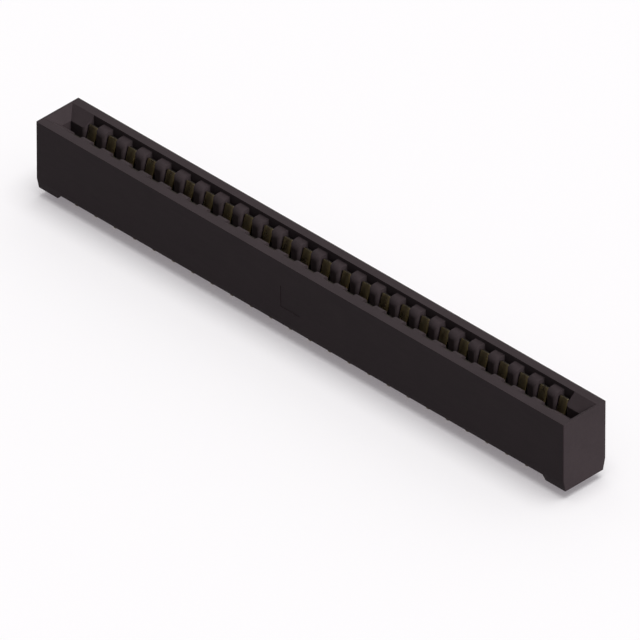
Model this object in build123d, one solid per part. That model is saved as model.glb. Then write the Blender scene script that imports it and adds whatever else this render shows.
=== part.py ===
from build123d import *
import os

# Double-row card edge connector for a printed circuit board.
# One moulded housing holds two facing rows of formed strip contacts. A card
# slides down into the slot between the rows, and the contact tails go into
# the board below.
# Frame: the origin is the centre of the plane where the feet stand on the
# board. X runs along the slot, Y across it with the front row at negative Y,
# and Z points up to the mouth of the slot. All sizes are millimetres.

# Contact field: stations along the slot, and the two rows of tails
POSITIONS = 25
PITCH = 3.9624
ROW_SPACING = 3.556
FIELD_TO_END = 5.766

# Housing block, whose long sides draw in towards the feet
BODY_WIDTH = 8.54
BODY_HEIGHT = 11.74
CORNER_RADIUS = 0.12
SIDE_TAPER = 0.42
SIDE_TAPER_HEIGHT = 1.85

# Feet that stand on the board, and the gap under the body between them
STANDOFF = 0.88
FOOT_LENGTH = 3.95
FOOT_DRAFT = 0.45

# Card slot, and the funnel that leads the card in beyond the contact field
SLOT_WIDTH = 1.74
SLOT_DEPTH = 8.4
SLOT_END_WALL = 1.9
LAND_WIDTH = 1.5
END_LAND = 0.35
LEAD_IN_DEPTH = 1.46

# Ribs between the contact cavities, which stop a little below the land
CAVITY_WIDTH = 2.1
RIB_RECESS = 0.6
RIB_NOSE_RADIUS = 1.1
RIB_CORNER_RADIUS = 0.55

# Shallow blank pad on the front face
PAD_LENGTH = 3.9
PAD_HEIGHT = 3.6
PAD_DEPTH = 0.08
PAD_FROM_END = 49.7
PAD_BELOW_TOP = 4.1

# Formed strip contact: a straight tail, a heel, a sprung beam and a tip
STRIP_THICKNESS = 0.3
CONTACT_WIDTH = 1.65
TAIL_WIDTH = 0.66
TAIL_REACH = 1.4
TAIL_POINT = 0.12
HEEL_RISE = 0.7
HEEL_SET_BACK = 0.42
HEEL_RUN = 0.9
HEEL_RADIUS = 0.5
CREST_GAP = 1.2
CREST_BELOW_TOP = 4.6
CREST_RADIUS = 0.8
TIP_BELOW_TOP = 0.9
TIP_SET_BACK = 1.1
TIP_CORNER = 0.2

# Stepped holes in the floor that seat the contacts
SEAT_CLEARANCE = 0.03
SHOULDER_RISE = 1.0

# Derived sizes
field_length = (POSITIONS - 1) * PITCH
half_length = field_length / 2 + FIELD_TO_END
half_width = BODY_WIDTH / 2
land_edge = half_width - LAND_WIDTH
slot_half = SLOT_WIDTH / 2
slot_half_length = half_length - SLOT_END_WALL
field_half = (field_length + CAVITY_WIDTH) / 2
floor_top = BODY_HEIGHT - SLOT_DEPTH
shoulder_z = STANDOFF + SHOULDER_RISE
tail_y = ROW_SPACING / 2
stations = [i * PITCH - field_length / 2 for i in range(POSITIONS)]


def extrude_section(outline, start, end):
    """Solid with a section in the YZ plane, from one X to another."""
    return extrude(Plane.YZ.offset(start) * make_face(outline), amount=end - start)


def make_block():
    """Outer block with its long sides tapered at the bottom and its end corners rounded."""
    foot_half = half_width - SIDE_TAPER
    outline = Polyline(
        (-foot_half, 0),
        (foot_half, 0),
        (half_width, SIDE_TAPER_HEIGHT),
        (half_width, BODY_HEIGHT),
        (-half_width, BODY_HEIGHT),
        (-half_width, SIDE_TAPER_HEIGHT),
        close=True,
    )
    block = extrude_section(outline, -half_length, half_length)
    end_edges = block.edges().filter_by(lambda e: abs(e.center().X) > field_half)
    corners = end_edges.filter_by(lambda e: e.bounding_box().size.Z > 0)
    return fillet(corners, CORNER_RADIUS)


def make_underside_gap():
    """Space under the body between the two feet, whose inner faces slope."""
    low = half_length - FOOT_LENGTH
    high = low - FOOT_DRAFT
    outline = Polyline((-low, 0), (low, 0), (high, STANDOFF), (-high, STANDOFF), close=True)
    return extrude(Plane.XZ * make_face(outline), amount=half_width, both=True)


def make_slot_and_cavities():
    """Card slot with all the contact cavities, as one comb cut from above."""
    comb = Rectangle(2 * slot_half_length, SLOT_WIDTH)
    comb += [Pos(x, 0) * Rectangle(CAVITY_WIDTH, 2 * land_edge) for x in stations]
    nose_end = (slot_half + land_edge) / 2
    noses = [v for v in comb.vertices() if abs(v.X) < field_half + PITCH / 2 and abs(v.Y) < nose_end]
    comb = fillet(noses, RIB_CORNER_RADIUS)
    return extrude(Pos(0, 0, floor_top) * comb, amount=SLOT_DEPTH)


def make_rib_relief():
    """What is taken off the rib tops: a step below the land, then a rounded nose."""
    top_z = BODY_HEIGHT - RIB_RECESS
    nose_z = top_z - RIB_NOSE_RADIUS
    nose_y = slot_half + RIB_NOSE_RADIUS
    outline = [
        Polyline((slot_half, nose_z), (0, nose_z), (0, BODY_HEIGHT), (land_edge, BODY_HEIGHT), (land_edge, top_z)),
        Line((land_edge, top_z), (nose_y, top_z)),
        CenterArc((nose_y, nose_z), RIB_NOSE_RADIUS, 90, 90),
    ]
    rear = extrude_section(outline, -field_half, field_half)
    return rear + mirror(rear, about=Plane.XZ)


def make_lead_in():
    """Funnel round the whole mouth of the slot, kept only beyond the contact field."""
    mouth = Pos(0, 0, BODY_HEIGHT) * Rectangle(2 * (half_length - END_LAND), 2 * land_edge)
    throat = Pos(0, 0, BODY_HEIGHT - LEAD_IN_DEPTH) * Rectangle(2 * slot_half_length, SLOT_WIDTH)
    funnel = loft([throat.face(), mouth.face()])
    return funnel - Pos(0, 0, BODY_HEIGHT) * Box(2 * field_half, BODY_WIDTH, 2 * SLOT_DEPTH)


def make_seats():
    """Stepped holes in the floor: wide above the shoulders, narrow for the tails."""
    thickness = STRIP_THICKNESS + 2 * SEAT_CLEARANCE
    places = [Pos(x, y) for x in stations for y in (-tail_y, tail_y)]
    wide = Sketch() + [p * Rectangle(CONTACT_WIDTH + 2 * SEAT_CLEARANCE, thickness) for p in places]
    narrow = Sketch() + [p * Rectangle(TAIL_WIDTH + 2 * SEAT_CLEARANCE, thickness) for p in places]
    upper = extrude(Pos(0, 0, shoulder_z) * wide, amount=floor_top - shoulder_z)
    lower = extrude(Pos(0, 0, STANDOFF) * narrow, amount=shoulder_z - STANDOFF)
    return upper + lower


def make_pad():
    """Shallow blank pad, sunk in the front face beside the middle."""
    x = PAD_FROM_END + PAD_LENGTH / 2 - half_length
    z = BODY_HEIGHT - PAD_BELOW_TOP - PAD_HEIGHT / 2
    return Pos(x, -half_width, z) * Box(PAD_LENGTH, 2 * PAD_DEPTH, PAD_HEIGHT)


def make_housing():
    """One moulding with its slot, cavities, seats and pad."""
    housing = make_block() - make_underside_gap() - make_slot_and_cavities()
    housing -= make_rib_relief()
    housing -= make_lead_in()
    housing -= make_seats()
    housing -= make_pad()
    return housing


def make_contact():
    """One rear contact at X = 0: a strip bent along its path, then trimmed to width."""
    half = STRIP_THICKNESS / 2
    heel_z = floor_top + HEEL_RISE
    crest_y = CREST_GAP / 2 + half
    tip_z = BODY_HEIGHT - TIP_BELOW_TOP
    path = FilletPolyline(
        (tail_y, -TAIL_REACH),
        (tail_y, heel_z),
        (tail_y + HEEL_SET_BACK, heel_z + HEEL_RUN),
        (crest_y, BODY_HEIGHT - CREST_BELOW_TOP),
        (crest_y + TIP_SET_BACK, tip_z),
        radius=[HEEL_RADIUS, HEEL_RADIUS, CREST_RADIUS],
    )
    strip = extrude(Plane.YZ * trace(path, STRIP_THICKNESS), amount=CONTACT_WIDTH / 2, both=True)
    side = (CONTACT_WIDTH - TAIL_WIDTH) / 2
    below = shoulder_z + TAIL_REACH
    for sign in (-1, 1):
        x = sign * (TAIL_WIDTH + side) / 2
        strip -= Pos(x, tail_y, shoulder_z - below / 2) * Box(side, 2 * STRIP_THICKNESS, below)
    tail_edges = [e for e in strip.edges().filter_by(Axis.Y) if e.center().Z < -TAIL_REACH + half]
    strip = chamfer(tail_edges, TAIL_POINT)
    tip_edges = strip.edges().filter_by(GeomType.LINE).filter_by(lambda e: e.center().Z > tip_z - half)
    tip_edges = [e for e in tip_edges if e.bounding_box().size.X < half]
    return fillet(tip_edges, TIP_CORNER)


os.makedirs("parts", exist_ok=True)
housing = make_housing()
contact_rear = make_contact()
contact_front = mirror(contact_rear, about=Plane.XZ)
export_step(housing, "parts/housing.step")
for number, x in enumerate(stations, start=1):
    export_step(Pos(x, 0) * contact_front, f"parts/contact_front_{number:02d}.step")
    export_step(Pos(x, 0) * contact_rear, f"parts/contact_rear_{number:02d}.step")
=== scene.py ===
import logging
import math
from dataclasses import dataclass, field
from enum import Enum
from typing import Any, Union

import bmesh
import bpy
import numpy as np
from mathutils import Matrix, Vector


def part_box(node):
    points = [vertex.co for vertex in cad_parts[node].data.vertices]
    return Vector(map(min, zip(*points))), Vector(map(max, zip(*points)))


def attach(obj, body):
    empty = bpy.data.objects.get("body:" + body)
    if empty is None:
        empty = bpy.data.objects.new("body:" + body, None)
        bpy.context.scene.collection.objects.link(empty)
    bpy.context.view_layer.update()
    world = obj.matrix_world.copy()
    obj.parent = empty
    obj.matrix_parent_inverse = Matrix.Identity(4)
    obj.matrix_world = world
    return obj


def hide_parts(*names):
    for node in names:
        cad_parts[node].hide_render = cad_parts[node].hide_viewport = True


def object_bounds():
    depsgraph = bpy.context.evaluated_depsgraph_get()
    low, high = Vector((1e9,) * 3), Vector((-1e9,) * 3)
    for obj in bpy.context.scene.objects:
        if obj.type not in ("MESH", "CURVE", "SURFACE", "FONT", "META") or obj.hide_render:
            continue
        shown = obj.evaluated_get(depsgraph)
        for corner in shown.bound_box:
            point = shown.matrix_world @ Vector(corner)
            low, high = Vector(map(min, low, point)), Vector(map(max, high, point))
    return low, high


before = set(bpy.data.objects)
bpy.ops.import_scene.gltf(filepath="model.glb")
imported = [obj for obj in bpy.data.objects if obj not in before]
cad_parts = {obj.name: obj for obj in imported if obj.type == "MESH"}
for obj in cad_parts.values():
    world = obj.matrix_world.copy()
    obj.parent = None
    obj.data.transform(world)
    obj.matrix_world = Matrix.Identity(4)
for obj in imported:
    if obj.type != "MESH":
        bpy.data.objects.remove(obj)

CAD_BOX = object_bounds()
LOWEST_Z = CAD_BOX[0][2]
LOG = logging.getLogger("card_edge_connector")

MM = 0.001
BODY = "root"
HOUSING_NODE = "housing"
# Mesh attribute that marks the cut ends and their rounded edges; it carries the near-black cut
# colour, which is partly dull cut metal and partly painted shade.
CUT_SHADE_ATTRIBUTE = "cut_end_shade"
NOISE_MIDDLE = 0.5
QUARTER_TURN = math.pi / 2
STATION_DIGITS = 8

Value = Union[float, "Signal"]
Colour = tuple[float, float, float]


class Slot(Enum):
    """Material slots of the record."""

    PLASTIC = "housing_plastic"
    METAL = "contact_metal"


class Row(Enum):
    """The two facing rows of contacts; the value is the side of Y on which a row stands."""

    FRONT = -1
    REAR = 1

    @property
    def prefix(self) -> str:
        """Start of the names of this row's nodes."""
        return f"contact_{self.name.lower()}_"


class Lit(Enum):
    """What a lamp lights; the value names the collection that holds it."""

    OBJECT = "object_pieces"
    FLOOR = "floor_alone"

    def collection(self) -> bpy.types.Collection:
        """The collection, made the first time that it is asked for."""
        return bpy.data.collections.get(self.value) or bpy.data.collections.new(self.value)


class Detail(Enum):
    """Octaves of finer noise that a noise pattern carries."""

    PLAIN = 1.0
    MEDIUM = 2.0
    FINE = 3.0


class Signal:
    """Shader socket on which Python arithmetic adds Math nodes."""

    def __init__(self, graph: "Graph", socket: Any) -> None:
        """Keeps a socket with the graph that it belongs to.

        Args:
            graph: Node graph that new Math nodes go into.
            socket: Output socket that this signal carries.
        """
        self.graph = graph
        self.socket = socket

    def _math(self, operation: str, *values: Value) -> "Signal":
        """Adds one Math node.

        Args:
            operation: Blender's name of the operation.
            values: Numbers or signals of its inputs, in order.

        Returns:
            The result of the operation.
        """
        inputs = {index: value for index, value in enumerate(values)}
        return self.graph.add("ShaderNodeMath", {"operation": operation}, inputs)

    def __add__(self, other: Value) -> "Signal":
        """Sum."""
        return self._math("ADD", self, other)

    def __radd__(self, other: Value) -> "Signal":
        """Sum, with the signal on the right."""
        return self._math("ADD", other, self)

    def __sub__(self, other: Value) -> "Signal":
        """Difference."""
        return self._math("SUBTRACT", self, other)

    def __rsub__(self, other: Value) -> "Signal":
        """Difference, with the signal on the right."""
        return self._math("SUBTRACT", other, self)

    def __mul__(self, other: Value) -> "Signal":
        """Product."""
        return self._math("MULTIPLY", self, other)

    def __rmul__(self, other: Value) -> "Signal":
        """Product, with the signal on the right."""
        return self._math("MULTIPLY", other, self)

    def maximum(self, other: Value) -> "Signal":
        """The larger of two."""
        return self._math("MAXIMUM", self, other)

    def clamp(self) -> "Signal":
        """The signal kept between 0 and 1."""
        return self.graph.add("ShaderNodeClamp", {}, {"Value": self})


class Graph:
    """Node tree of one material or world, filled in code."""

    def __init__(self, tree: bpy.types.NodeTree) -> None:
        """Empties a node tree and keeps it.

        Args:
            tree: Node tree of a material or a world.
        """
        tree.nodes.clear()
        self.tree = tree

    def add(
        self,
        kind: str,
        settings: dict[str, Any],
        inputs: dict[Union[int, str], Any],
        output: Union[int, str] = 0,
    ) -> Signal:
        """Adds a node, sets it up and feeds its inputs.

        Args:
            kind: Node type.
            settings: Node properties, set before the inputs; "stops" is a ramp's list of
                position and grey level.
            inputs: Values or signals by socket name or index.
            output: Socket to hand back.

        Returns:
            The chosen output of the new node.
        """
        node = self.tree.nodes.new(kind)
        for name, value in settings.items():
            if name == "stops":
                self._set_stops(node.color_ramp, value)
            else:
                setattr(node, name, value)
        for key, value in inputs.items():
            if isinstance(value, Signal):
                self.tree.links.new(value.socket, node.inputs[key])
            else:
                node.inputs[key].default_value = value
        return Signal(self, node.outputs[output] if node.outputs else None)

    @staticmethod
    def _set_stops(ramp: bpy.types.ColorRamp, stops: list[tuple[float, float]]) -> None:
        """Gives a colour ramp two grey stops.

        Args:
            ramp: Ramp to change, which has two stops.
            stops: Positions and grey levels, in order.
        """
        for element, (position, level) in zip(ramp.elements, stops):
            element.position = position
            element.color = (level, level, level, 1.0)

    def noise(self, place: Signal, scale: float, detail: Detail) -> Signal:
        """Smooth noise from 0 to 1 over a place in metres.

        Args:
            place: Vector signal.
            scale: Features per metre.
            detail: How much finer noise it carries.

        Returns:
            The noise value.
        """
        inputs = {"Vector": place, "Scale": scale, "Detail": detail.value}
        return self.add("ShaderNodeTexNoise", {}, inputs, "Fac")

    def mix(self, amount: Value, low: Any, high: Any) -> Signal:
        """Colour that goes from one to another.

        Args:
            amount: 0 for low, 1 for high.
            low: Colour or signal.
            high: Colour or signal.

        Returns:
            The mixed colour.
        """
        inputs = {0: amount, 6: low, 7: high}
        return self.add("ShaderNodeMix", {"data_type": "RGBA"}, inputs, 2)

    def stretch(self, place: Signal, scale: tuple[float, float, float]) -> Signal:
        """Place multiplied axis by axis, which draws a pattern out along the small axes.

        Args:
            place: Vector signal.
            scale: Factor of each axis.

        Returns:
            The stretched place.
        """
        return self.add("ShaderNodeVectorMath", {"operation": "MULTIPLY"}, {0: place, 1: scale})

    def bump(self, strength: float, reach: float, height: Signal) -> Signal:
        """Normal of a surface that a height makes uneven.

        Args:
            strength: Strength of the effect, from 0 to 1.
            reach: What a height of 1 measures, in metres.
            height: Height signal.

        Returns:
            The bumped normal.
        """
        inputs = {"Strength": strength, "Distance": reach, "Height": height}
        return self.add("ShaderNodeBump", {}, inputs)

    def object_place(self) -> Signal:
        """Object coordinates, in metres."""
        return self.add("ShaderNodeTexCoord", {}, {}, "Object")


def rgba(colour: Colour) -> tuple[float, float, float, float]:
    """Opaque colour of three linear levels."""
    return (*colour, 1.0)


def scaled(colour: Colour, factor: float) -> tuple[float, float, float, float]:
    """Opaque colour with its three levels multiplied by one factor."""
    return rgba(tuple(level * factor for level in colour))


@dataclass(frozen=True)
class Finish:
    """A finish with its name and its record slot."""

    name: str
    slot: Slot

    def _surface(self, graph: Graph) -> Signal:
        """Builds the finish's shader; each finish has its own."""
        raise NotImplementedError

    def build(self) -> bpy.types.Material:
        """Makes the material.

        Returns:
            A new node material of this finish.
        """
        material = bpy.data.materials.new(self.name)
        material.use_nodes = True
        graph = Graph(material.node_tree)
        graph.add("ShaderNodeOutputMaterial", {}, {"Surface": self._surface(graph)})
        return material


@dataclass(frozen=True)
class MouldedPlastic(Finish):
    """Black glass-filled moulding: near-matte, a little warm, with a fine cloudy grain.

    Attributes:
        colour: Linear colour of the plain plastic.
        cloud: Share by which the colour drifts over some millimetres.
        speck: Share by which it changes from grain to grain.
        roughness: Middle roughness.
        specular: Specular level of the shader.
        grain: Height of the grain in metres.
        cloud_scale: Clouds per metre.
        streak_scale: Flow streaks per metre across the flow.
        streak_draw: Share of that number along each axis, small along the flow.
        grain_scale: Grains per metre.
        swell_scale: Coarser swells under the grain per metre.
        cloud_weight: Contrast of the clouds in the tone.
        streak_weight: Contrast of the streaks in the tone.
        grain_roughness: Change of roughness from grain to grain.
        cloud_roughness: Change of roughness from cloud to cloud.
        grain_share: Share of the grain in the height, the rest being swell.
        bump: Strength of the height.
    """

    colour: Colour = (0.0405, 0.0307, 0.0334)
    cloud: float = 0.13
    speck: float = 0.22
    roughness: float = 0.5
    specular: float = 0.045
    grain: float = 0.011 * MM
    cloud_scale: float = 220.0
    streak_scale: float = 1400.0
    streak_draw: tuple[float, float, float] = (0.15, 1.0, 1.0)
    grain_scale: float = 9000.0
    swell_scale: float = 2600.0
    cloud_weight: float = 1.3
    streak_weight: float = 0.7
    grain_roughness: float = 0.18
    cloud_roughness: float = 0.1
    grain_share: float = 0.7
    bump: float = 0.7

    def _surface(self, graph: Graph) -> Signal:
        """Mixes slow clouds, flow streaks along X and a fine grain.

        The colour factor is the cloud noise, the streak noise and the grain noise, each
        centred on nought and weighted; the roughness rises with the grain and the clouds;
        the bump is the grain with a coarser swell under it.

        Args:
            graph: Graph of the material.

        Returns:
            The shader's output.
        """
        place = graph.object_place()
        clouds = graph.noise(place, self.cloud_scale, Detail.FINE)
        streaks = graph.noise(
            graph.stretch(place, self.streak_draw), self.streak_scale, Detail.MEDIUM
        )
        grain = graph.noise(place, self.grain_scale, Detail.FINE)
        swell = graph.noise(place, self.swell_scale, Detail.PLAIN)
        drift = (clouds - NOISE_MIDDLE) * self.cloud_weight
        flow = (streaks - NOISE_MIDDLE) * self.streak_weight
        tone = NOISE_MIDDLE + drift + flow
        spread = self.cloud + self.speck
        colour = graph.mix(
            (tone * (self.cloud / spread) + grain * (self.speck / spread)).clamp(),
            scaled(self.colour, 1.0 - spread),
            scaled(self.colour, 1.0 + spread),
        )
        rough = (
            self.roughness
            + (grain - NOISE_MIDDLE) * self.grain_roughness
            + (clouds - NOISE_MIDDLE) * self.cloud_roughness
        )
        height = grain * self.grain_share + swell * (1.0 - self.grain_share)
        normal = graph.bump(self.bump, self.grain, height)
        return graph.add(
            "ShaderNodeBsdfPrincipled",
            {},
            {
                "Base Color": colour,
                "Roughness": rough.clamp(),
                "Specular IOR Level": self.specular,
                "Normal": normal,
            },
        )


@dataclass(frozen=True)
class PlatedStrip(Finish):
    """Thin gold plating over a rolled strip, with faint lines along it, and cut ends whose
    near-black colour is partly dull cut metal and partly painted shade, which also covers their
    rounded edges.

    Attributes:
        bright: Linear colour of clean plating.
        dull: Linear colour where it has darkened.
        cut: Linear colour of the cut ends and their rounded edges: dull cut metal, darkened to
            near black as painted shade.
        roughness: Middle roughness of the plating.
        cut_roughness: Roughness of the cut ends.
        line_height: Height of the rolling lines in metres.
        patch_scale: Dull patches per metre.
        patch_stops: Noise levels at which plating is clean, and darkened.
        line_scale: Rolling lines per metre across the strip.
        line_draw: Share of that number along each axis, small along the strip.
        patch_weight: Share of the patches in the dull plating.
        line_weight: Contrast of the lines in the dull plating.
        least_dull: Share of dull plating everywhere.
        patch_roughness: Roughness that a dull patch adds.
        line_roughness: Change of roughness from line to line.
        bump: Strength of the lines' height.
    """

    bright: Colour = (0.36, 0.31, 0.20)
    dull: Colour = (0.22, 0.185, 0.115)
    # Near black: dull cut metal, darkened further as painted shade.
    cut: Colour = (0.033, 0.028, 0.024)
    roughness: float = 0.27
    cut_roughness: float = 0.5
    line_height: float = 0.001 * MM
    patch_scale: float = 700.0
    patch_stops: tuple[float, float] = (0.35, 0.7)
    line_scale: float = 9000.0
    line_draw: tuple[float, float, float] = (1.0, 0.12, 0.06)
    patch_weight: float = 0.6
    line_weight: float = 0.8
    least_dull: float = 0.2
    patch_roughness: float = 0.08
    line_roughness: float = 0.08
    bump: float = 0.6

    def _surface(self, graph: Graph) -> Signal:
        """Mixes the two tones by patches and by lines drawn out along the strip.

        The share of dull plating is the patch noise, pushed apart by a ramp, plus the line
        noise centred on nought; the lines also carry the roughness and the bump. The mesh's
        own attribute is 1 on the cut ends and their rounded edges, and goes from the plating
        to the cut colour, which is dull cut metal darkened to near black as painted shade.

        Args:
            graph: Graph of the material.

        Returns:
            The shader's output.
        """
        place = graph.object_place()
        clean, darkened = self.patch_stops
        patches = graph.add(
            "ShaderNodeValToRGB",
            {"stops": [(clean, 0.0), (darkened, 1.0)]},
            {"Fac": graph.noise(place, self.patch_scale, Detail.FINE)},
        )
        lines = graph.noise(graph.stretch(place, self.line_draw), self.line_scale, Detail.MEDIUM)
        uneven = patches * self.patch_weight + (lines - NOISE_MIDDLE) * self.line_weight
        share = (uneven + self.least_dull).clamp()
        cut = graph.add("ShaderNodeAttribute", {"attribute_name": CUT_SHADE_ATTRIBUTE}, {}, "Fac")
        plating = graph.mix(share, rgba(self.bright), rgba(self.dull))
        # Cut ends and their rounded edges go near black: dull cut metal, plus painted shade where
        # the plating's reflection would show.
        colour = graph.mix(cut, plating, rgba(self.cut))
        worn = (
            self.roughness
            + patches * self.patch_roughness
            + (lines - NOISE_MIDDLE) * self.line_roughness
        )
        rough = worn + cut * (self.cut_roughness - worn)
        normal = graph.bump(self.bump, self.line_height, lines)
        return graph.add(
            "ShaderNodeBsdfPrincipled",
            {},
            {
                "Base Color": colour,
                "Metallic": 1.0,
                "Roughness": rough.clamp(),
                "Normal": normal,
            },
        )


def finish_piece(
    name: str, mesh: bpy.types.Mesh, material: bpy.types.Material, nodes: list[str]
) -> bpy.types.Object:
    """Puts a mesh into the scene as a piece that stands for CAD nodes.

    Args:
        name: Name of the piece.
        mesh: Its mesh, in place.
        material: The finish's material.
        nodes: CAD nodes that it replaces.

    Returns:
        The new object.
    """
    mesh.materials.clear()
    mesh.materials.append(material)
    piece = bpy.data.objects.new(name, mesh)
    bpy.context.scene.collection.objects.link(piece)
    Lit.OBJECT.collection().objects.link(piece)
    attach(piece, BODY)
    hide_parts(*nodes)
    return piece


@dataclass
class Housing:
    """The moulded housing, with the small radius that a mould leaves on every edge.

    Attributes:
        finish: Moulded plastic.
        name: Name of the piece.
        edge_radius: Radius on the outer edges, in metres.
        edge_segments: Faces across each rounded edge.
        sharp_angle: Edges that turn by more than this are rounded, in radians.
        flat_angle: Faces that turn by less than this are one face, in radians.
        merge_distance: Corners closer than this are one corner, in metres.
        flat_weight: Hold that large faces have over the shading beside them, in percent.
    """

    finish: MouldedPlastic
    name: str = "housing_moulding"
    edge_radius: float = 0.1 * MM
    edge_segments: int = 2
    sharp_angle: float = math.radians(32.0)
    flat_angle: float = math.radians(0.4)
    merge_distance: float = 0.0005 * MM
    flat_weight: int = 100

    def _merged_copy(self) -> bpy.types.Mesh:
        """Copies the CAD mesh, with its doubles merged and its flat faces joined.

        Returns:
            The copy, shaded smooth.
        """
        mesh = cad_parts[HOUSING_NODE].data.copy()
        mesh.name = self.name
        shell = bmesh.new()
        shell.from_mesh(mesh)
        bmesh.ops.remove_doubles(shell, verts=shell.verts, dist=self.merge_distance)
        bmesh.ops.dissolve_limit(
            shell, angle_limit=self.flat_angle, verts=shell.verts, edges=shell.edges
        )
        for face in shell.faces:
            face.smooth = True
        shell.to_mesh(mesh)
        shell.free()
        return mesh

    def build(self, material: bpy.types.Material) -> bpy.types.Object:
        """Makes the housing piece.

        Args:
            material: The finish's material.

        Returns:
            The piece.
        """
        piece = finish_piece(
            self.name, self._merged_copy(), material, [HOUSING_NODE]
        )
        rounding = piece.modifiers.new("mould_radius", "BEVEL")
        rounding.width = self.edge_radius
        rounding.segments = self.edge_segments
        rounding.limit_method = "ANGLE"
        rounding.angle_limit = self.sharp_angle
        rounding.miter_outer = "MITER_SHARP"
        rounding.harden_normals = True
        flattening = piece.modifiers.new("flat_faces", "WEIGHTED_NORMAL")
        flattening.mode = "FACE_AREA"
        flattening.weight = self.flat_weight
        return piece


@dataclass
class StripContact:
    """One formed strip contact: straight tail, shoulders, heel, sprung beam and tip.

    Lengths are in metres and heights are Z. The strip is worked out for the rear row, and
    the front row is its mirror image across the slot.

    Attributes:
        thickness: Thickness of the strip.
        beam_width: Width from the shoulders up.
        tail_width: Width of the tail.
        edge_radius: Radius along the strip's edges.
        tip_radius: Radius of the two corners of the tip.
        tail_point: Chamfer at the end of the tail.
        tail_y: Distance of the tail from the middle of the slot.
        tail_end_z: Height of the tail's end.
        shoulder_z: Height at which the tail widens.
        heel_z: Height at which the beam turns away from the slot.
        heel_set_back: How far the heel lies behind the tail.
        heel_run: Height over which the heel goes back.
        crest_gap: Gap between two facing crests.
        crest_z: Height of the crest.
        tip_set_back: How far the tip lies behind the crest.
        tip_z: Height of the tip.
        heel_radius: Bend radius below and above the heel.
        crest_radius: Bend radius of the crest.
        bend_steps: Parts of each bend.
        edge_points: Points of each rounded edge.
        tip_points: Rings across the tip's rounded corners.
        tip_start: Where on its quarter turn the tip's outermost ring lies, in radians.
        shoulder_step: Half the height over which the strip widens.
        cut_reach: How far the cut colour, with its painted shade, reaches from each end, over the
            rounded edge too.
    """

    thickness: float = 0.3 * MM
    beam_width: float = 1.65 * MM
    tail_width: float = 0.66 * MM
    edge_radius: float = 0.05 * MM
    tip_radius: float = 0.2 * MM
    tail_point: float = 0.12 * MM
    tail_y: float = 1.778 * MM
    tail_end_z: float = LOWEST_Z
    shoulder_z: float = 1.88 * MM
    heel_z: float = 4.04 * MM
    heel_set_back: float = 0.42 * MM
    heel_run: float = 0.9 * MM
    crest_gap: float = 1.2 * MM
    crest_z: float = 7.14 * MM
    tip_set_back: float = 1.1 * MM
    tip_z: float = 10.84 * MM
    heel_radius: float = 0.5 * MM
    crest_radius: float = 0.8 * MM
    bend_steps: int = 8
    edge_points: int = 4
    tip_points: int = 5
    tip_start: float = 0.2
    shoulder_step: float = 0.01 * MM
    cut_reach: float = 0.055 * MM

    def _knots(self) -> np.ndarray:
        """Ends and corners of the centre line from the tail up, as Y and Z."""
        crest_y = (self.crest_gap + self.thickness) / 2
        return np.array(
            (
                (self.tail_y, self.tail_end_z),
                (self.tail_y, self.heel_z),
                (self.tail_y + self.heel_set_back, self.heel_z + self.heel_run),
                (crest_y, self.crest_z),
                (crest_y + self.tip_set_back, self.tip_z),
            )
        )

    def _centre_line(self) -> tuple[np.ndarray, np.ndarray]:
        """Works out the centre line and its direction.

        Each bend is an arc that touches both runs at its radius times the tangent of half
        the turn from the corner; its points are the arc's centre plus the radius times the
        outward normal, turned evenly from one run's direction to the next.

        Returns:
            Points as Y and Z, and the unit direction at each.
        """
        knots = self._knots()
        radii = (self.heel_radius, self.heel_radius, self.crest_radius)
        runs = np.diff(knots, axis=0)
        headings = np.arctan2(runs[:, 1], runs[:, 0])
        points = [knots[0]]
        angles = [headings[0]]
        for corner, radius, before, after in zip(knots[1:-1], radii, headings, headings[1:]):
            turn = after - before
            side = math.copysign(1.0, turn)
            reach = radius * math.tan(abs(turn) / 2)
            start = corner - reach * np.array((math.cos(before), math.sin(before)))
            centre = start + side * radius * np.array((-math.sin(before), math.cos(before)))
            sweep = before + turn * np.linspace(0.0, 1.0, self.bend_steps + 1)
            arc = centre + side * radius * np.stack((np.sin(sweep), -np.cos(sweep)), axis=1)
            points.extend(arc)
            angles.extend(sweep)
        points.append(knots[-1])
        angles.append(headings[-1])
        heading = np.array(angles)
        return np.array(points), np.stack((np.cos(heading), np.sin(heading)), axis=1)

    def _stations(self, length: float, shoulder: float, bends: np.ndarray) -> np.ndarray:
        """Distances along the strip at which it gets a ring.

        Args:
            length: Whole length of the centre line.
            shoulder: Distance of the shoulders.
            bends: Distances of the centre line's own points.

        Returns:
            Sorted distances.
        """
        edge_turn = np.linspace(0.0, QUARTER_TURN, self.edge_points)
        tip_turn = np.linspace(self.tip_start, QUARTER_TURN, self.tip_points)
        soft = self.edge_radius * (1.0 - np.sin(edge_turn))
        corner = self.tip_radius * (1.0 - np.cos(tip_turn))
        widening = shoulder + np.array((-self.shoulder_step, self.shoulder_step, self.edge_radius))
        stations = np.concatenate(
            (soft, [self.tail_point], widening, length - soft, length - corner, bends[1:-1])
        )
        return np.unique(np.round(stations, STATION_DIGITS))

    def _half_width(self, along: np.ndarray, length: float, shoulder: float) -> np.ndarray:
        """Half width at each distance along the strip.

        The tail's half width, less what is left of the chamfer, up to the shoulders; the
        beam's half width from there; and at the tip less the radius minus the height of a
        quarter circle.

        Args:
            along: Distances from the end of the tail.
            length: Whole length.
            shoulder: Distance of the shoulders.

        Returns:
            Half widths.
        """
        tail = self.tail_width / 2 - np.maximum(0.0, self.tail_point - along)
        left = np.clip(self.tip_radius - (length - along), 0.0, self.tip_radius)
        cut = self.tip_radius - np.sqrt(self.tip_radius**2 - left**2)
        beam = self.beam_width / 2 - cut
        return np.where(along < shoulder, tail, beam)

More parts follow.
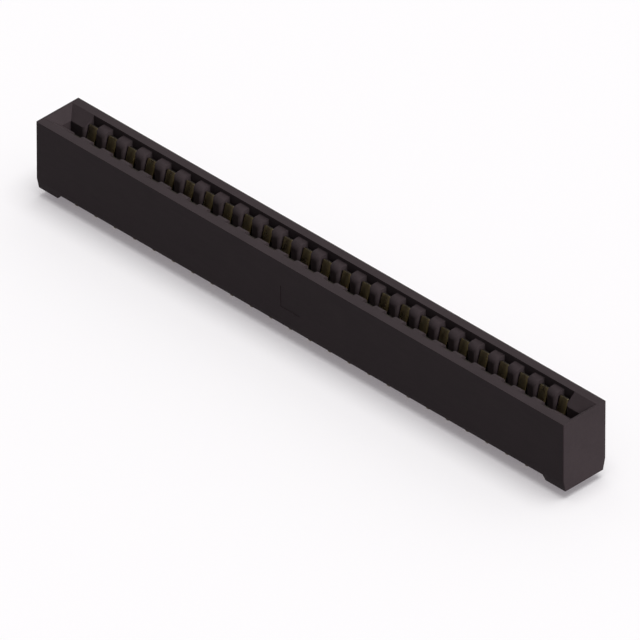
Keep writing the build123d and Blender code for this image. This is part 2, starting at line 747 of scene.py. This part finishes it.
    def _inset(self, along: np.ndarray, length: float) -> np.ndarray:
        """How far the section draws in at the two rounded ends.

        The radius minus the height of a quarter circle over the distance to the nearer end.

        Args:
            along: Distances from the end of the tail.
            length: Whole length.

        Returns:
            Insets.
        """
        near = np.minimum(along, length - along)
        left = np.clip(self.edge_radius - near, 0.0, self.edge_radius)
        return self.edge_radius - np.sqrt(self.edge_radius**2 - left**2)

    def surface(self) -> tuple[np.ndarray, np.ndarray]:
        """Works out the strip's surface for the rear row at X = 0.

        A rounded rectangle is carried along the centre line: at each ring a point is the
        centre plus its share of the half width along X and of the half thickness along the
        normal, plus the edge radius times the direction of its corner's arc.

        Returns:
            Points as rings by points round, by three; and 1 for each point of the cut ends,
            0 for the rest.
        """
        line, heading = self._centre_line()
        gaps = np.linalg.norm(np.diff(line, axis=0), axis=1)
        bends = np.concatenate(([0.0], np.cumsum(gaps)))
        length = float(bends[-1])
        shoulder = self.shoulder_z - self.tail_end_z
        along = self._stations(length, shoulder, bends)
        centre = np.stack([np.interp(along, bends, line[:, axis]) for axis in (0, 1)], axis=1)
        direct = np.stack([np.interp(along, bends, heading[:, axis]) for axis in (0, 1)], axis=1)
        direct /= np.linalg.norm(direct, axis=1, keepdims=True)
        normal = np.stack((direct[:, 1], -direct[:, 0]), axis=1)
        inset = self._inset(along, length)
        half_x = self._half_width(along, length, shoulder) - inset - self.edge_radius
        half_n = self.thickness / 2 - inset - self.edge_radius
        quarter = np.linspace(0.0, QUARTER_TURN, self.edge_points)
        angle = np.concatenate([quarter + turn * QUARTER_TURN for turn in range(4)])
        sign_x = np.repeat((1.0, -1.0, -1.0, 1.0), quarter.size)
        sign_n = np.repeat((1.0, 1.0, -1.0, -1.0), quarter.size)
        across = half_x[:, None] * sign_x + self.edge_radius * np.cos(angle)
        out = half_n[:, None] * sign_n + self.edge_radius * np.sin(angle)
        points = np.empty((along.size, angle.size, 3))
        points[..., 0] = across
        points[..., 1] = centre[:, :1] + out * normal[:, :1]
        points[..., 2] = centre[:, 1:] + out * normal[:, 1:]
        # Points near either end take the cut colour: dull cut metal plus painted shade.
        near_end = np.minimum(along, length - along) < self.cut_reach
        return points, np.repeat(near_end.astype(float), angle.size)


def grid_mesh(name: str, points: np.ndarray, cut: np.ndarray, flip: bool) -> bpy.types.Mesh:
    """Makes a closed tube of quads from rings of points, with a face over each end.

    Face (i, j) joins points j and j + 1 of ring i to the same points of ring i + 1.

    Args:
        name: Name of the mesh.
        points: Rings by points round, by three.
        cut: Share of cut end at each point.
        flip: True turns every face over, for a mirrored surface.

    Returns:
        The mesh, shaded smooth.
    """
    rows, around = points.shape[:2]
    ring = np.arange(around)
    start = np.arange(rows - 1)[:, None] * around
    here = start + ring
    after = start + np.roll(ring, -1)
    quads = np.stack((here, after, after + around, here + around), axis=-1).reshape(-1, 4)
    first = ring[::-1]
    last = ring + (rows - 1) * around
    faces = quads.tolist() + [first.tolist(), last.tolist()]
    if flip:
        faces = [face[::-1] for face in faces]
    mesh = bpy.data.meshes.new(name)
    mesh.from_pydata(points.reshape(-1, 3).tolist(), [], faces)
    mesh.attributes.new(CUT_SHADE_ATTRIBUTE, "FLOAT", "POINT").data.foreach_set("value", cut)
    mesh.shade_smooth()
    return mesh


@dataclass
class ContactRows:
    """Both rows of strip contacts, each contact a piece of its own.

    Attributes:
        finish: Plated strip.
        contact: Shape of one contact.
        crease: Edges that turn by more than this stay sharp, in radians.
    """

    finish: PlatedStrip
    contact: StripContact = field(default_factory=StripContact)
    crease: float = math.radians(50.0)

    def build(self, material: bpy.types.Material) -> list[bpy.types.Object]:
        """Makes every contact where its CAD node stands.

        Args:
            material: The finish's material.

        Returns:
            The pieces, front row first.
        """
        points, cut = self.contact.surface()
        pieces = []
        for row in Row:
            for node in sorted(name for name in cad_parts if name.startswith(row.prefix)):
                low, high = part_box(node)
                placed = points * (1.0, row.value, 1.0) + ((low[0] + high[0]) / 2, 0.0, 0.0)
                name = node.replace("contact", "strip")
                mesh = grid_mesh(name, placed, cut, row is Row.FRONT)
                mesh.set_sharp_from_angle(angle=self.crease)
                pieces.append(finish_piece(name, mesh, material, [node]))
        return pieces


@dataclass(frozen=True)
class Lamp:
    """A distant soft lamp.

    Attributes:
        name: Name of the lamp.
        towards: Direction from the object to the lamp.
        level: Level that it gives a white surface facing it.
        spread: Angle over which it spreads, in degrees.
        lights: What it lights, the object or the floor under it.
    """

    name: str
    towards: tuple[float, float, float]
    level: float
    spread: float
    lights: Lit

    def build(self) -> None:
        """Hangs the lamp."""
        light = bpy.data.lights.new(self.name, "SUN")
        light.energy = self.level * math.pi
        light.angle = math.radians(self.spread)
        lamp = bpy.data.objects.new(self.name, light)
        lamp.matrix_world = Vector(self.towards).to_track_quat("Z", "Y").to_matrix().to_4x4()
        lamp.light_linking.receiver_collection = self.lights.collection()
        bpy.context.scene.collection.objects.link(lamp)


@dataclass
class Studio:
    """Pale floor, white surround and soft lamps.

    Attributes:
        floor_z: Height of the floor, which the contact tails stand on.
        floor_reach: Half the floor's side.
        floor_colour: Floor as the camera sees it.
        floor_bounce: Floor as it lights the object.
        floor_glow: Share of the floor's look that no shadow reaches.
        glow_colour: Colour of that share, which tints the shadows.
        sky_colour: Colour of the surround.
        sky: Middle level of the surround as light.
        sky_lean: How much the surround brightens towards a direction, along each axis.
        lamps: The lamps.
    """

    floor_z: float = LOWEST_Z
    floor_reach: float = 1.5
    floor_colour: Colour = (1.0, 1.0, 1.0)
    floor_bounce: Colour = (0.215, 0.19, 0.215)
    floor_glow: float = 0.2
    glow_colour: Colour = (1.0, 0.917, 0.987)
    sky_colour: Colour = (1.0, 1.0, 1.0)
    sky: float = 0.4
    sky_lean: tuple[float, float, float] = (0.0, 0.2, 0.0)
    lamps: tuple[Lamp, ...] = (
        Lamp("side_softbox", (1.0, 0.08, 0.8), 1.0, 30.0, Lit.OBJECT),
        Lamp("top_softbox", (0.1, 0.03, 1.0), 0.6, 40.0, Lit.FLOOR),
    )

    @staticmethod
    def _seen_directly(graph: Graph) -> Signal:
        """1 for rays from the camera, a mirror or glass, and 0 for rays of light."""
        path = graph.add("ShaderNodeLightPath", {}, {}, "Is Camera Ray")
        outputs = path.socket.node.outputs
        glossy = Signal(graph, outputs["Is Glossy Ray"])
        through = Signal(graph, outputs["Is Transmission Ray"])
        return (path + glossy + through).clamp()

    def _build_floor(self) -> None:
        """Lays the floor."""
        corners = ((-1, -1), (1, -1), (1, 1), (-1, 1))
        spots = [(x * self.floor_reach, y * self.floor_reach, self.floor_z) for x, y in corners]
        mesh = bpy.data.meshes.new("floor")
        mesh.from_pydata(spots, [], [(0, 1, 2, 3)])
        floor = bpy.data.objects.new("floor", mesh)
        bpy.context.scene.collection.objects.link(floor)
        Lit.FLOOR.collection().objects.link(floor)
        material = bpy.data.materials.new("pale_floor")
        material.use_nodes = True
        graph = Graph(material.node_tree)
        seen = self._seen_directly(graph)
        colour = graph.mix(seen, rgba(self.floor_bounce), rgba(self.floor_colour))
        lit = graph.add("ShaderNodeBsdfDiffuse", {}, {"Color": colour})
        glow = graph.add("ShaderNodeEmission", {}, {"Color": rgba(self.glow_colour)})
        inputs = {0: seen * self.floor_glow, 1: lit, 2: glow}
        surface = graph.add("ShaderNodeMixShader", {}, inputs)
        graph.add("ShaderNodeOutputMaterial", {}, {"Surface": surface})
        mesh.materials.append(material)

    def _build_sky(self) -> None:
        """Sets the surround: white where it is seen, and dimmer as light."""
        world = bpy.data.worlds.new("white_surround")
        world.use_nodes = True
        graph = Graph(world.node_tree)
        seen = self._seen_directly(graph)
        towards = graph.add("ShaderNodeTexCoord", {}, {}, "Generated")
        lean = graph.add(
            "ShaderNodeVectorMath",
            {"operation": "DOT_PRODUCT"},
            {0: towards, 1: self.sky_lean},
            "Value",
        )
        light = (self.sky + lean).maximum(0.0)
        strength = light + seen * (1.0 - light)
        surface = graph.add(
            "ShaderNodeBackground", {}, {"Color": rgba(self.sky_colour), "Strength": strength}
        )
        graph.add("ShaderNodeOutputWorld", {}, {"Surface": surface})
        bpy.context.scene.world = world

    def build(self) -> None:
        """Sets up the floor, the surround and the lamps."""
        self._build_floor()
        self._build_sky()
        for lamp in self.lamps:
            lamp.build()


@dataclass
class Viewpoint:
    """The photograph's camera: a long lens from the front right, above.

    Attributes:
        azimuth: Turn round the object, in degrees.
        elevation: Height above the horizon, in degrees.
        lens: Focal length in millimetres.
        sensor: Sensor width in millimetres.
        frame_width: What the frame's width covers at the object, in metres.
        frame_pixels: The frame's width in pixels.
        centre: Middle of the housing, in metres.
        centre_pixel: Where the frame shows it.
        shift: Further turn of the aim, in pixels right and down.
    """

    azimuth: float = 45.0
    elevation: float = math.degrees(math.atan(math.sqrt(0.5)))
    lens: float = 1700.0
    sensor: float = 36.0
    frame_width: float = 91.53 * MM
    frame_pixels: int = 640
    centre: tuple[float, float, float] = (0.0, 0.0, 5.87 * MM)
    centre_pixel: tuple[float, float] = (320.45, 294.6)
    shift: tuple[float, float] = (1.3, 0.75)

    def build(self) -> None:
        """Sets the camera.

        The camera stands back from the aim by the frame's width times the lens over the
        sensor; the aim is the middle of the housing moved by the pixels between where the
        frame shows it and the frame's own middle.
        """
        turn = math.radians(self.azimuth)
        rise = math.radians(self.elevation)
        level = math.cos(rise)
        back = Vector((math.sin(turn) * level, -math.cos(turn) * level, math.sin(rise)))
        right = Vector((math.cos(turn), math.sin(turn), 0.0))
        up = back.cross(right)
        pixel = self.frame_width / self.frame_pixels
        middle = self.frame_pixels / 2
        over = (middle - self.centre_pixel[0] + self.shift[0]) * pixel
        down = (middle - self.centre_pixel[1] + self.shift[1]) * pixel
        aim = Vector(self.centre) + right * over - up * down
        lens = bpy.data.cameras.new("camera")
        lens.lens = self.lens
        lens.sensor_width = self.sensor
        camera = bpy.data.objects.new("camera", lens)
        axes = Matrix((right, up, back)).transposed().to_4x4()
        distance = self.frame_width * self.lens / self.sensor
        camera.matrix_world = Matrix.Translation(aim + back * distance) @ axes
        bpy.context.scene.collection.objects.link(camera)
        bpy.context.scene.camera = camera


def main() -> None:
    """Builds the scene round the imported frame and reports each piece."""
    logging.basicConfig(level=logging.INFO, format="%(name)s: %(message)s")
    Viewpoint().build()
    Studio().build()
    bpy.context.scene.view_settings.view_transform = "Standard"
    plastic = MouldedPlastic("moulded_plastic", Slot.PLASTIC)
    plating = PlatedStrip("plated_strip", Slot.METAL)
    housing = Housing(plastic).build(plastic.build())
    LOG.info("%s: %d faces before rounding", housing.name, len(housing.data.polygons))
    for piece in ContactRows(plating).build(plating.build()):
        LOG.info("%s: %d faces", piece.name, len(piece.data.polygons))


if __name__ == "__main__":
    main()
